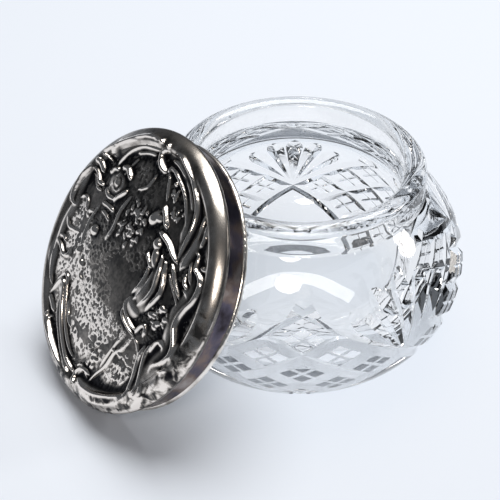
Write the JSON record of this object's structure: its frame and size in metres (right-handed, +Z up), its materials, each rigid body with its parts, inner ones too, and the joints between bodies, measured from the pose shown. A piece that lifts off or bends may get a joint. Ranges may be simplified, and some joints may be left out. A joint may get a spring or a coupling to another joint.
{
  "type": "powder jar",
  "caption": "Globe-shaped cut-glass vanity jar with a plain neck, and its domed silver slip-on lid standing on edge against it.",
  "frame": {"origin": "centre of the jar's foot, on the surface that the jar and the lid's rim stand on", "axes": "+Z up along the jar's axis; the lid stands on the -X side and leans towards +X against the lip; -Y is towards the front"},
  "size_m": [0.1406, 0.1096, 0.0799],
  "materials": {
    "cut_glass": "fire-polished lead glass with wheel-cut facets",
    "oxidised_silver": "die-stamped silver, oxidised dark in the recesses and bright on the high relief",
    "tarnished_silver": "plain silver band with bluish-brown tarnish",
    "polished_silver": "worn bright rolled edge"
  },
  "bodies": {
    "jar": {"glass_bowl": "cut_glass"},
    "lid": {"lid_top": "oxidised_silver", "lid_side_band": "tarnished_silver", "lid_rim_wire": "polished_silver"}
  },
  "joints": [
    {"name": "lid_lift", "type": "slide", "parent": "jar", "child": "lid", "axis": [0, 0, 1], "range_m": [0, 0.12]}
  ]
}
